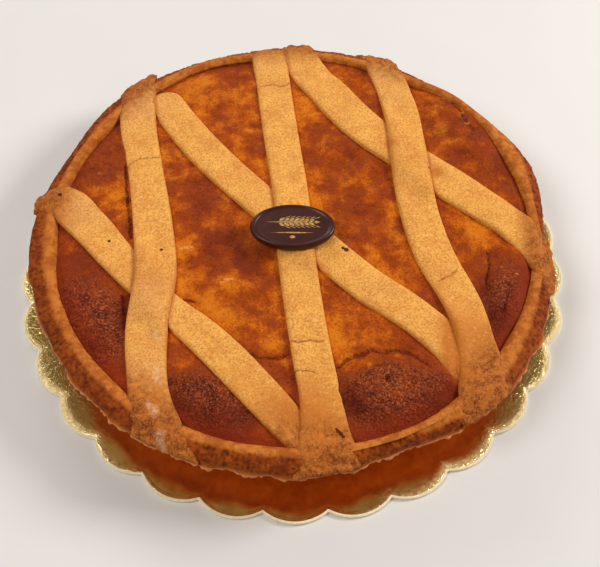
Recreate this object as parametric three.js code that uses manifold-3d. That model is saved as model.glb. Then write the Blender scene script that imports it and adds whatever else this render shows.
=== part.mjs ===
// A pastiera: a flat ricotta and wheat tart in a shortcrust shell, crossed by six dough strips, with an
// oval chocolate plaque in the middle. It stands on a scalloped cake card.
// Millimetres, +Z up. The origin is the middle of the card's underside, and the front of the tart is at -Y.

import * as THREE from "three";
import { mergeVertices } from "three/addons/utils/BufferGeometryUtils.js";
import Module from "manifold-3d";

const wasm = await Module();
wasm.setup();

// Clearance between pieces that touch.
const GAP = 0.3;

// The cake card: equal round lobes between cusps. The turn is the angle of one cusp, in degrees.
const CARD = { lobes: 30, reach: 140, cusp: 135.5, thick: 2, turn: 1.08, arcSteps: 3 };

// The shell's three radii: its flat foot, the rim's outer edge and the inner edge of the rim's lip.
const RADII = { foot: 110, outer: 127.2, inner: 117.1 };
const SHELL_STEPS = 126;

// The shell's section, from the middle of its foot, up the flared wall, over the rim and down inside. Each
// point stands off one of the radii, at a height over the table. Near the torn edge the points also take a
// share of its ripple, outwards and upwards.
const SHELL_SECTION = [
  { from: "foot", out: -2.5, z: 2.3 },
  { from: "foot", out: 0, z: 4.5 },
  { from: "foot", out: 11.5, z: 24.2 },
  { from: "outer", out: -0.6, z: 25.6, rippleOut: 1, rippleUp: 0.6 },
  { from: "outer", out: 0, z: 27.9, rippleOut: 0.4 },
  { from: "outer", out: -1.2, z: 31 },
  { from: "outer", out: -4.2, z: 32.6, rippleUp: 0.3 },
  { from: "inner", out: 3.6, z: 33.6 },
  { from: "inner", out: 1.2, z: 33.1 },
  { from: "inner", out: -0.2, z: 31 },
  { from: "inner", out: -1.2, z: 28.4 },
  { from: "foot", out: -5.5, z: 7.6 },
];

// Where the rim's outer edge and the lip's inner edge leave their circles: angle and width in degrees.
const OUTER_BUMPS = [
  { at: -40, out: 2.6, span: 20 },
  { at: -3, out: -3.2, span: 12 },
  { at: 18, out: 2.8, span: 12 },
  { at: 52, out: -1.8, span: 10 },
  { at: 97, out: -2, span: 4 },
  { at: 110, out: 0.9, span: 20 },
  { at: 137, out: 2.4, span: 13 },
  { at: 160, out: -1.8, span: 9 },
  { at: 188, out: 1.3, span: 12 },
  { at: 240, out: 1, span: 16 },
  { at: 272, out: 1, span: 7 },
  { at: 291, out: -1.9, span: 9 },
];
const INNER_BUMPS = [
  { at: 40, out: 3, span: 15 },
  { at: 57, out: -1.5, span: 6 },
  { at: 115, out: 2.8, span: 14 },
  { at: 190, out: -2.2, span: 40 },
  { at: 295, out: 1.8, span: 16 },
];

// How far the trimmed ends of the strips reach past the rim, and the lumps where they were folded over.
const END_REACH = 1.1;
const END_BUMPS = [
  { at: 64, out: 2.2, span: 4 },
  { at: 90, out: 1.6, span: 3 },
  { at: 98, out: -1.2, span: 4 },
  { at: 128, out: 2.6, span: 3 },
  { at: 138, out: 1.4, span: 4 },
  { at: 174, out: 0.6, span: 3 },
];

// The ripples of the torn edge: waves round the rim, their height and their start in radians.
const TEARS = [
  { waves: 23, high: 0.5, start: 0.4 },
  { waves: 37, high: 0.45, start: 1.9 },
  { waves: 53, high: 0.4, start: 4.1 },
];

// The filling: its level near the lip, how far its middle has sunk and over what radius, and how far it
// stands up between the strips. Its side is a section like the shell's, a clearance inside it.
const FILLING = { level: 30.4, sunk: 1.3, sinkWidth: 70, proud: 0.8, steps: 54, rings: 9 };
const FILLING_SECTION = [
  { from: "foot", out: -6.8, z: 7.9 },
  { from: "inner", out: -1.9, z: 28.4 },
  { from: "inner", out: -1.4, z: 30.3 },
];

// Where the filling has puffed up: ovals that are flat in the middle and fade out past their edge.
const PUFF_FADE = { from: 0.35, to: 1.25 };
const PUFFS = [
  { x: 45, y: -90, long: 25, wide: 18, turn: 8, high: 4.6 },
  { x: -97, y: -52, long: 30, wide: 10, turn: 118, high: 2.8 },
  { x: -37, y: -95, long: 22, wide: 10, turn: -43, high: 2.8 },
  { x: 100, y: -38, long: 27, wide: 10, turn: 72, high: 3.2 },
  { x: 90, y: 66, long: 30, wide: 17, turn: -58, high: 2.8 },
  { x: -93, y: 34, long: 24, wide: 9, turn: 68, high: 1.6 },
  { x: -42, y: 92, long: 26, wide: 14, turn: 18, high: 1.8 },
  { x: 26, y: 103, long: 16, wide: 7, turn: -50, high: 1.4 },
];

// The strips: rolled dough of one thickness, sunk a little into what they lie on, thinner where they
// were pressed onto the rim. The long ones cross over the diagonal ones and rise there.
const STRIP = { thick: 4.2, pressed: 2.7, sunk: 1.2, lift: 2.6, step: 11 };
const PRESS_OVER = { from: -8, to: 6 };
const LIFT_FADE = { overlap: 2, ramp: 12, rimFrom: -26 };
// Where the sections of a rounded tip stand, in millimetres from its end.
const TIP_STEPS = [0.3, 1.5, 4];

// The bed that the strips were laid on climbs from the filling to the lip and falls off past the rim.
const BED = { lip: 33.2, climbFrom: -7, climbTo: 2, drop: 3.4, dropFrom: -7, dropTo: 3 };

// Each strip's middle line and width: [x, y, width] from its far end to its near end.
const LONG_STRIPS = {
  strip_left: [
    [-90, 106, 22],
    [-87, 90, 20],
    [-83.4, 62, 19.2],
    [-76, 31.5, 18],
    [-69, -1, 19.2],
    [-64, -32, 19.5],
    [-64.8, -62, 19.2],
    [-59.4, -97, 18],
    [-53.5, -116, 24],
    [-49, -130, 28],
  ],
  strip_middle: [
    [-16.5, 134, 22],
    [-13.8, 112, 19.8],
    [-6.8, 58, 18.8],
    [-0.5, 12, 18.2],
    [2.1, -22, 18],
    [4.9, -44, 18],
    [9.8, -77, 17.8],
    [12.9, -95, 18.2],
    [14, -106, 20],
    [16.5, -136, 32],
  ],
  strip_right: [
    [44, 134, 24],
    [50.8, 109, 18.5],
    [58, 78, 19.2],
    [60.3, 41, 19.6],
    [62.3, 11, 19.2],
    [68.1, -20, 19.4],
    [78.9, -49.3, 17.7],
    [83, -80, 20],
    [85, -98, 28],
    [92, -116, 36],
  ],
};
const DIAGONAL_STRIPS = {
  diagonal_middle: [
    [-73.5, 88, 17],
    [-66, 74, 18.6],
    [-52.4, 54, 19.6],
    [-21.5, 18.6, 19],
    [10.8, -12.2, 18.8],
    [36.6, -38.2, 19.2],
    [56.8, -54.5, 18.2],
    [70.2, -69.4, 17.6],
    [78, -90, 14],
  ],
  diagonal_left: [
    [-137, 11, 8],
    [-127, 10.6, 11],
    [-115.7, 9.9, 19.7],
    [-101, -2.6, 19.3],
    [-82, -23.9, 17.2],
    [-70, -35.7, 17],
    [-59, -47.6, 14],
    [-51.5, -54.6, 14.8],
    [-43, -61.8, 16.4],
    [-15, -90.5, 17.4],
    [3, -111, 14],
  ],
  diagonal_right: [
    [-1, 134, 22],
    [5, 112, 21],
    [18.6, 91.5, 22],
    [37.6, 64.5, 22],
    [60, 42.5, 20],
    [85.5, 19.1, 21],
    [108.6, -2.8, 18.2],
    [122, -24, 20],
    [128, -38, 22],
  ],
};

// The strips that start in a rounded tip on the filling.
const ROUND_TIPS = ["diagonal_middle"];

// A strip's section: across is a share of half the width, up a share of the thickness.
const SECTION_TOP = [
  { across: -1, up: 0.42 },
  { across: -0.88, up: 0.88 },
  { across: -0.55, up: 1 },
  { across: 0.55, up: 1 },
  { across: 0.88, up: 0.88 },
  { across: 1, up: 0.42 },
];
const SECTION_BOTTOM = [
  { across: 1, up: 0 },
  { across: 0, up: 0 },
  { across: -1, up: 0 },
];

// The plaque: a moulded oval with a raised border round a flat field, lying on the middle crossing.
const PLAQUE = { x: 0.1, y: -8.2, long: 41, wide: 25.8, thick: 3.6, steps: 36, near: 0.7 };
const PLAQUE_PROFILE = [
  { size: 0.93, up: 0 },
  { size: 1, up: 0.3 },
  { size: 1, up: 0.68 },
  { size: 0.965, up: 0.94 },
  { size: 0.93, up: 1 },
  { size: 0.885, up: 0.95 },
  { size: 0.855, up: 0.84 },
];

const FULL_TURN = 2 * Math.PI;
const radians = THREE.MathUtils.degToRad;
const smooth = THREE.MathUtils.smoothstep;
const lerp = THREE.MathUtils.lerp;

// Joins loops of equal length side to side into one closed body, with a fan over the first and last.
function closedBody(loops) {
  const count = loops[0].length;
  const points = loops.flat();
  const index = [];
  for (let row = 0; row < loops.length - 1; row += 1) {
    for (let i = 0; i < count; i += 1) {
      const next = (i + 1) % count;
      const a = row * count + i;
      const b = row * count + next;
      const c = (row + 1) * count + next;
      const d = (row + 1) * count + i;
      index.push(a, b, c, a, c, d);
    }
  }
  const lastRow = (loops.length - 1) * count;
  const firstMiddle = points.push(middleOf(loops[0])) - 1;
  const lastMiddle = points.push(middleOf(loops.at(-1))) - 1;
  for (let i = 0; i < count; i += 1) {
    const next = (i + 1) % count;
    index.push(firstMiddle, next, i);
    index.push(lastMiddle, lastRow + i, lastRow + next);
  }
  return toSolid(new Float32Array(points.flat()), new Uint32Array(index));
}

function middleOf(loop) {
  return [0, 1, 2].map((axis) => loop.reduce((sum, point) => sum + point[axis], 0) / loop.length);
}

function toSolid(vertProperties, triVerts) {
  return new wasm.Manifold(new wasm.Mesh({ numProp: 3, vertProperties, triVerts }));
}

// How far the bumps push a radius out at an angle in radians.
function bumpAt(bumps, angle) {
  return bumps.reduce((sum, bump) => {
    const away = Math.atan2(Math.sin(angle - radians(bump.at)), Math.cos(angle - radians(bump.at)));
    return sum + bump.out * Math.exp(-((away / radians(bump.span)) ** 2));
  }, 0);
}

const radiusAt = {
  foot: () => RADII.foot,
  outer: (angle) => RADII.outer + bumpAt(OUTER_BUMPS, angle),
  inner: (angle) => RADII.inner + bumpAt(INNER_BUMPS, angle),
};
const trimRadius = (angle) => radiusAt.outer(angle) + END_REACH + bumpAt(END_BUMPS, angle);

// The points of a section at an angle, as radius and height.
function sectionAt(section, angle) {
  const ripple = TEARS.reduce((sum, tear) => sum + tear.high * Math.sin(tear.waves * angle + tear.start), 0);
  return section.map(({ from, out, z, rippleOut = 0, rippleUp = 0 }) => [
    radiusAt[from](angle) + out + rippleOut * ripple,
    z + rippleUp * ripple,
  ]);
}

// The level of the filling without its puffs, and the bed that the strips were laid on: the filling,
// then the lip, then the shoulder of the rim.
function fillingLevel(x, y) {
  return FILLING.level - FILLING.sunk * Math.exp(-((Math.hypot(x, y) / FILLING.sinkWidth) ** 2));
}

function bedLevel(x, y) {
  const angle = Math.atan2(y, x);
  const radius = Math.hypot(x, y);
  const inner = radiusAt.inner(angle);
  const outer = radiusAt.outer(angle);
  const onLip = smooth(radius, inner + BED.climbFrom, inner + BED.climbTo);
  const overEdge = smooth(radius, outer + BED.dropFrom, outer + BED.dropTo);
  return lerp(fillingLevel(x, y), BED.lip, onLip) - BED.drop * overEdge;
}

function puffAt(x, y) {
  return PUFFS.reduce((high, puff) => {
    const turn = radians(puff.turn);
    const along = (x - puff.x) * Math.cos(turn) + (y - puff.y) * Math.sin(turn);
    const across = (y - puff.y) * Math.cos(turn) - (x - puff.x) * Math.sin(turn);
    const away = Math.hypot(along / puff.long, across / puff.wide);
    return high + puff.high * (1 - smooth(away, PUFF_FADE.from, PUFF_FADE.to));
  }, 0);
}

// Loops round the upright axis, one for each point of a profile that may change with the angle.
function loopsRound(profile, steps) {
  const rows = Array.from({ length: steps }, (_, i) => {
    const angle = (FULL_TURN * i) / steps;
    return profile(angle).map(([radius, z]) => [radius * Math.cos(angle), radius * Math.sin(angle), z]);
  });
  return rows[0].map((_, k) => rows.map((row) => row[k]));
}

function makeShell() {
  return closedBody(loopsRound((angle) => sectionAt(SHELL_SECTION, angle), SHELL_STEPS));
}

// The filling fills the shell: its side follows the wall, and rings of its top close in on the middle.
function makeFilling() {
  const profile = (angle) => {
    const side = sectionAt(FILLING_SECTION, angle);
    const [edge] = side.at(-1);
    const top = Array.from({ length: FILLING.rings }, (_, i) => {
      const radius = edge * (1 - (i + 1) / (FILLING.rings + 1));
      const x = radius * Math.cos(angle);
      const y = radius * Math.sin(angle);
      return [radius, fillingLevel(x, y) + FILLING.proud + puffAt(x, y)];
    });
    return [...side, ...top];
  };
  return closedBody(loopsRound(profile, FILLING.steps));
}

// A strip's middle line with its width along it, as a curve whose third coordinate is the width.
function stripCurve(stations) {
  return new THREE.CatmullRomCurve3(stations.map((station) => new THREE.Vector3(...station)));
}

const diagonalLines = Object.values(DIAGONAL_STRIPS).map((stations) => stripCurve(stations).getPoints(80));

// How far a long strip is lifted at a point by the diagonal strips under it. Near the rim the dough
// was pressed together, and the lift is less.
function liftAt(x, y) {
  const beside = Math.min(
    ...diagonalLines.flat().map((point) => Math.hypot(x - point.x, y - point.y) - point.z / 2),
  );
  const onTop = 1 - smooth(beside + LIFT_FADE.overlap, 0, LIFT_FADE.ramp);
  const pressed = smooth(Math.hypot(x, y), RADII.inner + LIFT_FADE.rimFrom, RADII.inner);
  return STRIP.lift * onTop * (1 - pressed);
}

// One strip, a swept section. Grown by the clearance it is the tool that makes room for the strip.
// A strip with a tip starts in a half round, and the others are trimmed or tucked under.
function stripBody(name, stations, grown) {
  const curve = stripCurve(stations);
  const length = curve.getLength();
  const steps = Math.round(length / STRIP.step);
  const isLong = name in LONG_STRIPS;
  const hasTip = ROUND_TIPS.includes(name);
  const evenly = Array.from({ length: steps + 1 }, (_, i) => (length * i) / steps);
  const distances = hasTip ? [...TIP_STEPS, ...evenly.slice(1)] : evenly;
  const loops = distances.map((distance, i) => {
    const share = Math.min(1, distance / length);
    const middle = curve.getPointAt(share);
    const along = curve.getTangentAt(share).setZ(0).normalize();
    const past = (i === distances.length - 1) - (i === 0);
    const fromRound = hasTip ? Math.max(0, 1 - (2 * distance) / middle.z) : 0;
    const half = (middle.z / 2) * Math.sqrt(1 - fromRound ** 2) + grown;
    const atSection = ({ across, up }) => {
      const x = middle.x + along.x * past * grown + along.y * across * half;
      const y = middle.y + along.y * past * grown - along.x * across * half;
      const pastLip = Math.hypot(x, y) - RADII.inner;
      const onRim = smooth(pastLip, PRESS_OVER.from, PRESS_OVER.to);
      const thick = lerp(STRIP.thick, STRIP.pressed, onRim);
      const lift = isLong ? liftAt(x, y) : 0;
      const bottom = bedLevel(x, y) - STRIP.sunk + lift;
      return [x, y, bottom + up * thick + (up > 0 ? grown : -grown)];
    };
    return [...SECTION_TOP, ...SECTION_BOTTOM].map(atSection);
  });
  return closedBody(loops);
}

// What the strips are trimmed to: the outline of the rim with the lumps of the folded ends.
function trimBody() {
  const profile = (angle) => [
    [trimRadius(angle), 0],
    [trimRadius(angle), 2 * BED.lip],
  ];
  return closedBody(loopsRound(profile, SHELL_STEPS));
}

function scallopedCard() {
  const half = Math.PI / CARD.lobes;
  const sagitta = CARD.reach - CARD.cusp * Math.cos(half);
  const chord = CARD.cusp * Math.sin(half);
  const arcRadius = (chord ** 2 + sagitta ** 2) / (2 * sagitta);
  const arcHalf = Math.asin(chord / arcRadius);
  const outline = new THREE.Shape();
  for (let lobe = 0; lobe < CARD.lobes; lobe += 1) {
    const angle = radians(CARD.turn) + half * (2 * lobe + 1);
    const x = (CARD.reach - arcRadius) * Math.cos(angle);
    const y = (CARD.reach - arcRadius) * Math.sin(angle);
    outline.absarc(x, y, arcRadius, angle - arcHalf, angle + arcHalf);
  }
  const shape = new THREE.ExtrudeGeometry(outline, {
    depth: CARD.thick,
    bevelEnabled: false,
    curveSegments: CARD.arcSteps,
  });
  shape.deleteAttribute("normal");
  shape.deleteAttribute("uv");
  return mergeVertices(shape);
}

function makePlaque(z) {
  const loops = PLAQUE_PROFILE.map(({ size, up }) =>
    Array.from({ length: PLAQUE.steps }, (_, i) => {
      const angle = (FULL_TURN * i) / PLAQUE.steps;
      const x = PLAQUE.x + (size * PLAQUE.long * Math.cos(angle)) / 2;
      const y = PLAQUE.y + (size * PLAQUE.wide * Math.sin(angle)) / 2;
      return [x, y, z + up * PLAQUE.thick];
    }),
  );
  return closedBody(loops);
}

// The highest point of a solid under the plaque or just beside it.
function highestUnderPlaque(solid) {
  const { vertProperties } = solid.getMesh();
  let highest = 0;
  for (let i = 0; i < vertProperties.length; i += 3) {
    const [x, y, z] = vertProperties.subarray(i, i + 3);
    const inside = Math.hypot((x - PLAQUE.x) / PLAQUE.long, (y - PLAQUE.y) / PLAQUE.wide) < PLAQUE.near;
    if (inside && z > highest) highest = z;
  }
  return highest;
}

// The mesh of a solid's largest body: loose scraps that the cuts leave between two strips are dropped.
function toGeometry(solid) {
  const largest = solid.decompose().reduce((best, body) => (body.volume() > best.volume() ? body : best));
  const mesh = largest.getMesh();
  const geometry = new THREE.BufferGeometry();
  geometry.setAttribute("position", new THREE.BufferAttribute(mesh.vertProperties, 3));
  geometry.setIndex(new THREE.BufferAttribute(mesh.triVerts, 1));
  geometry.computeVertexNormals();
  return geometry;
}

const PASTRY = { color: 0xd99a4e, roughness: 0.75, metalness: 0 };
const RIM = { color: 0xb06a2a, roughness: 0.8, metalness: 0 };
const BAKED_FILLING = { color: 0x9c4a14, roughness: 0.5, metalness: 0 };
const CHOCOLATE = { color: 0x3a2422, roughness: 0.35, metalness: 0 };
const GOLD_FOIL = { color: 0xc9a55a, roughness: 0.3, metalness: 1 };

const pastiera = new THREE.Group();

function addPiece(name, geometry, finish) {
  const mesh = new THREE.Mesh(geometry, new THREE.MeshStandardMaterial(finish));
  mesh.name = name;
  pastiera.add(mesh);
}

const trim = trimBody();
const toolsOf = (strips) => Object.entries(strips).map(([name, line]) => stripBody(name, line, GAP));
const longTools = toolsOf(LONG_STRIPS);
const diagonalTools = toolsOf(DIAGONAL_STRIPS);
const cutBy = (solid, tools) => tools.reduce((left, tool) => left.subtract(tool), solid);

addPiece("cake_card", scallopedCard(), GOLD_FOIL);
addPiece("shell", toGeometry(cutBy(makeShell(), [...longTools, ...diagonalTools])), RIM);
addPiece("filling", toGeometry(cutBy(makeFilling(), [...longTools, ...diagonalTools])), BAKED_FILLING);

for (const [name, stations] of Object.entries(DIAGONAL_STRIPS)) {
  const strip = cutBy(stripBody(name, stations, 0), longTools).intersect(trim);
  addPiece(name, toGeometry(strip), PASTRY);
}

let plaqueBed = 0;
for (const [name, stations] of Object.entries(LONG_STRIPS)) {
  const strip = stripBody(name, stations, 0).intersect(trim);
  plaqueBed = Math.max(plaqueBed, highestUnderPlaque(strip));
  addPiece(name, toGeometry(strip), PASTRY);
}

addPiece("plaque", toGeometry(makePlaque(plaqueBed + GAP)), CHOCOLATE);

export default pastiera;
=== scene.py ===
import math

import bpy
import numpy as np
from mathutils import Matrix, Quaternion, Vector


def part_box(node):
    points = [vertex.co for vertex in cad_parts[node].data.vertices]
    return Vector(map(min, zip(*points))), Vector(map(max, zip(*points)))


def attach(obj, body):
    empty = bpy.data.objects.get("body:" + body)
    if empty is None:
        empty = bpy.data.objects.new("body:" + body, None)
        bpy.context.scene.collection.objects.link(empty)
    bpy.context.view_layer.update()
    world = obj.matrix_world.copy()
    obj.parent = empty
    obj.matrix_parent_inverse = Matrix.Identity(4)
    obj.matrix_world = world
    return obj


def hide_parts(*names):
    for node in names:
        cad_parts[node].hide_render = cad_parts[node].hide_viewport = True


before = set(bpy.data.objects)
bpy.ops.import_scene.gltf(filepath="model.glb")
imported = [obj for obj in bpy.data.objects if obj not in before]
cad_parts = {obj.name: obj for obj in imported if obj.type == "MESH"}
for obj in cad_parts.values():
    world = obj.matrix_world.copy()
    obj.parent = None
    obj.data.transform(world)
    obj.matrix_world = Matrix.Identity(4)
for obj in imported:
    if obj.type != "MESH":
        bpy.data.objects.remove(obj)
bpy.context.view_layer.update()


# The cake card: board two millimetres thick, faced with crinkled gold foil and cut to thirty round
# lobes. The tart stands on its middle, and its cut edge shows the pale board.

# Its lobes, how far out they and the cusps between them reach, and how far it is turned.
CARD_LOBES = 30
CARD_REACH = 139.9
CARD_CUSP = 135.4
CARD_TURN = math.radians(1.08)
CARD_STEPS = 1440
# Its rows: how far in from the outline, and how high. The ones far in are plain circles, set in from a
# radius of their own, and the pale board shows from one row to another.
CARD_ROWS = [
    (139, 0.0), (60, 0.0), (0.5, 0.0), (0.12, 0.1), (0.0, 0.3),
    (0.0, 1.5), (0.1, 1.68), (0.45, 1.84), (1.1, 1.9), (1.6, 1.94), (2.5, 1.98),
    *((inset, 2.0) for inset in np.arange(3.5, 34, 1.3)), (70, 2.0), (139, 2.0),
]  # fmt: skip
CIRCLES_FROM = 50
CIRCLES_REACH = 139
BOARD_ROWS = (3, 8)
# Where the crushed foil along the edge catches the light: the angle, how much, and how far either way.
# The pale edge and the glints there are painted highlights laid on the foil's colour.
BRIGHT_LOBES = [(222, 1.0, 16), (305, 1.0, 16), (338, 0.8, 14), (0, 0.6, 14), (185, 0.4, 14)]


class Tone:
    """A value or colour in a finish, which can be added, taken away and multiplied like a number."""

    def __init__(self, finish, socket):
        self.finish = finish
        self.socket = socket

    def reckon(self, operation, first, second):
        return self.finish.node("ShaderNodeMath", {"operation": operation}, {0: first, 1: second})

    def __add__(self, other):
        return self.reckon("ADD", self, other)

    __radd__ = __add__

    def __sub__(self, other):
        return self.reckon("SUBTRACT", self, other)

    def __rsub__(self, other):
        return self.reckon("SUBTRACT", other, self)

    def __mul__(self, other):
        return self.reckon("MULTIPLY", self, other)

    __rmul__ = __mul__


class Finish:
    """The material of a piece. Its sizes are in millimetres, and its steady values stand on the shader."""

    def __init__(self, name, steady):
        self.material = bpy.data.materials.new(name)
        self.material.use_nodes = True
        self.tree = self.material.node_tree
        self.shader = self.tree.nodes["Principled BSDF"]
        for socket, value in steady.items():
            self.shader.inputs[socket].default_value = value
        here = self.node("ShaderNodeTexCoord", {}, {}, "Object")
        self.here = self.node("ShaderNodeVectorMath", {"operation": "SCALE"}, {"Vector": here, "Scale": 1000})

    def node(self, kind, settings, sockets, output=0):
        node = self.tree.nodes.new(kind)
        for name, value in settings.items():
            setattr(node, name, value)
        for name, value in sockets.items():
            self.feed(node.inputs[name], value)
        return Tone(self, node.outputs[output])

    def feed(self, socket, value):
        if isinstance(value, Tone):
            self.tree.links.new(value.socket, socket)
        else:
            socket.default_value = value

    def noise(self, size, detail=2.0):
        """Noise round a half, with lumps of about this size."""
        sockets = {"Vector": self.here, "Scale": 1 / size, "Detail": detail, "Roughness": 0.6}
        return self.node("ShaderNodeTexNoise", {}, sockets, "Fac")

    def folds(self, size):
        """Fine winding creases, 1 on their lines and 0 beside them."""
        off_line = self.node("ShaderNodeMath", {"operation": "ABSOLUTE"}, {0: self.noise(size, 1.2) - 0.5})
        return 1 - self.step(off_line, 0.0, 0.1)

    def mark(self, name):
        """A value that was laid on the mesh."""
        return self.node("ShaderNodeAttribute", {"attribute_name": name}, {}, "Fac")

    def step(self, value, low, high):
        """From 0 to 1 as the value goes from low to high."""
        sockets = {"Value": value, "From Min": low, "From Max": high}
        return self.node("ShaderNodeMapRange", {"interpolation_type": "SMOOTHSTEP"}, sockets)

    def mix(self, share, first, second):
        return self.node("ShaderNodeMix", {"data_type": "RGBA"}, {0: share, 6: first, 7: second}, 2)

    def between(self, share, first, second):
        """From one colour to another, both as a screen shows them."""
        return self.mix(share, on_screen(*first), on_screen(*second))

    def coat(self, colour, *coats):
        """Coats over a colour: how much each one covers, and its own colour as a screen shows it."""
        for share, shade in coats:
            colour = self.mix(share, colour, on_screen(*shade))
        return colour

    def lay(self, colour, roughness=None, metallic=None, relief=None):
        """Feeds the shader: its values as they are, and relief as millimetres of bump."""
        for socket, value in {"Base Color": colour, "Roughness": roughness, "Metallic": metallic}.items():
            if value is not None:
                self.feed(self.shader.inputs[socket], value)
        if relief is not None:
            bump = self.node("ShaderNodeBump", {}, {"Height": relief, "Distance": 0.001}, "Normal")
            self.feed(self.shader.inputs["Normal"], bump)


def on_screen(red, green, blue):
    """A colour as a screen shows it, 0 to 255, turned into the linear light of a material."""
    return (*(((value / 255 + 0.055) / 1.055) ** 2.4 for value in (red, green, blue)), 1.0)


def smooth(value, low, high):
    """From 0 to 1 as the value goes from low to high, for what is laid on a mesh."""
    share = np.clip((value - low) / (high - low), 0, 1)
    return share * share * (3 - 2 * share)


def grain(points, size, seed):
    """Soft noise between -1 and 1 at points in space, with lumps of about this size."""
    table = np.random.default_rng(seed).uniform(-1, 1, (64, 64, 64))
    spots = points / size
    cell = np.floor(spots).astype(int)
    share = spots - cell
    share = share * share * (3 - 2 * share)
    total = 0
    for corner in np.ndindex(2, 2, 2):
        weight = np.prod(np.where(corner, share, 1 - share), -1)
        x, y, z = np.moveaxis((cell + corner) % 64, -1, 0)
        total = total + weight * table[x, y, z]
    return total


def outward(loops):
    """The direction out of a body at each point of its loops."""
    round_it = np.roll(loops, -1, 1) - np.roll(loops, 1, 1)
    along_it = np.gradient(loops, axis=0)
    out = np.cross(round_it, along_it)
    return out / np.maximum(np.linalg.norm(out, axis=-1, keepdims=True), 1e-9)


def add_mesh(name, points, faces, finish):
    """An object with one mesh, from points in millimetres."""
    mesh = bpy.data.meshes.new(name)
    mesh.from_pydata(np.array(points) * 0.001, [], faces)
    mesh.materials.append(finish.material)
    piece = bpy.data.objects.new(name, mesh)
    bpy.context.scene.collection.objects.link(piece)
    return piece


def make_piece(name, loops, finish, marks=None, second_finish=None, second_rows=(0, 0)):
    """A closed piece from loops of points, with a fan over its first and last loop. A mark has one value
    for each point, and a second finish covers the faces from one loop to another."""
    rows, count, _ = loops.shape
    points = np.concatenate([loops.reshape(-1, 3), loops[:1].mean(1), loops[-1:].mean(1)])
    row, i = np.meshgrid(np.arange(rows - 1), np.arange(count), indexing="ij")
    after = (i + 1) % count
    sides = [row * count + i, row * count + after, (row + 1) * count + after, (row + 1) * count + i]
    quads = np.stack(sides, -1).reshape(-1, 4)
    ring = np.arange(count)
    beside = (ring + 1) % count
    last = (rows - 1) * count
    first_fan = np.stack([np.full(count, rows * count), beside, ring], -1)
    last_fan = np.stack([np.full(count, rows * count + 1), last + ring, last + beside], -1)
    piece = add_mesh(name, points, [*quads.tolist(), *first_fan.tolist(), *last_fan.tolist()], finish)
    mesh = piece.data
    mesh.shade_smooth()
    for mark, values in (marks or {}).items():
        on_ends = [values[:1].mean(1), values[-1:].mean(1)]
        layer = mesh.attributes.new(mark, "FLOAT", "POINT")
        layer.data.foreach_set("value", np.concatenate([values.ravel(), *on_ends]).astype(np.float32))
    if second_finish is not None:
        mesh.materials.append(second_finish.material)
        which = np.zeros(len(mesh.polygons), np.int32)
        which[second_rows[0] * count : second_rows[1] * count] = 1
        mesh.polygons.foreach_set("material_index", which)
    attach(piece, "root")
    return piece


def card_outline(angle):
    """The card's radius: arcs between the cusps, each round a middle that lies inside the card."""
    half = math.pi / CARD_LOBES
    depth = CARD_REACH - CARD_CUSP * math.cos(half)
    chord = CARD_CUSP * math.sin(half)
    arc = (chord**2 + depth**2) / (2 * depth)
    middle = CARD_REACH - arc
    beside = (angle - CARD_TURN) % (2 * half) - half
    return middle * np.cos(beside) + np.sqrt(arc**2 - (middle * np.sin(beside)) ** 2)


def bumps_at(bumps, angle):
    """The sum of soft bumps round the middle: the angle of each, its size and how far either way."""
    total = 0
    for at, out, span in bumps:
        away = (np.degrees(angle) - at + 180) % 360 - 180
        total = total + out * np.exp(-((away / span) ** 2))
    return total


card_angle = np.linspace(0, 2 * math.pi, CARD_STEPS, endpoint=False)
card_loops = np.zeros((len(CARD_ROWS), CARD_STEPS, 3))
for card_row, (inset, z) in zip(card_loops, CARD_ROWS):
    reach = card_outline(card_angle) if inset < CIRCLES_FROM else CIRCLES_REACH
    card_row[:, 0] = (reach - inset) * np.cos(card_angle)
    card_row[:, 1] = (reach - inset) * np.sin(card_angle)
    card_row[:, 2] = z

foil = Finish("gold_foil", {})
foil_border = foil.mark("border")
foil_side = foil.mark("side")
foil_catching = foil.mark("catching")
creased = 0.04 + 0.9 * foil_border + 0.75 * foil_side + 0.5 * foil_catching
crinkle = foil.noise(1.5, 3) + foil.noise(0.8) * 0.5
tarnish = foil.step(foil.noise(5, 3), 0.35, 0.65)
# Painted reflections: the foil is the same all round, but its left and right sides are painted olive,
# as a highlight, with less metal so that the pale colour shows, and glints are painted on bright lobes.
# with dark flecks and pale glints, as its reflections look there. Along the edge it is painted pale
side_dark_reflections = foil_side * foil.step(foil.noise(1.3, 4), 0.5, 0.62)
side_glints = foil_side * foil.step(foil.noise(1.3, 4), 0.51, 0.6)
glints = foil_catching * foil.step(foil.noise(1.2, 4) + 0.5 * foil_catching, 0.5, 1.0)
painted_border_glare = foil_border * foil.step(foil.noise(2.2, 3) + 0.4 * foil_side, 0.4, 0.8)
foil.lay(
    colour=foil.coat(
        foil.between(tarnish, (234, 176, 84), (250, 200, 112)),
        (foil_side * 0.7, (196, 172, 104)),
        (side_dark_reflections * 0.5, (150, 112, 60)),
        (side_glints * 0.8, (255, 236, 168)),
        (foil_border * 0.75, (254, 240, 184)),
        (glints * 0.85, (255, 232, 164)),
    ),
    roughness=0.1 + 0.12 * foil.noise(4),
    metallic=1 - 0.5 * painted_border_glare - 0.35 * glints,
    relief=creased * crinkle * 0.3,
)
board = Finish("pale_board", {"Roughness": 0.7})
board.lay(
    colour=board.between(board.step(board.noise(1.2), 0.35, 0.65), (232, 218, 178), (244, 234, 200)),
    relief=board.noise(0.5) * 0.1,
)
card_out = np.hypot(card_loops[..., 0], card_loops[..., 1])
card_inside = card_outline(card_angle) - card_out
bright_lobe = np.minimum(bumps_at(BRIGHT_LOBES, card_angle), 1)
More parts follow.
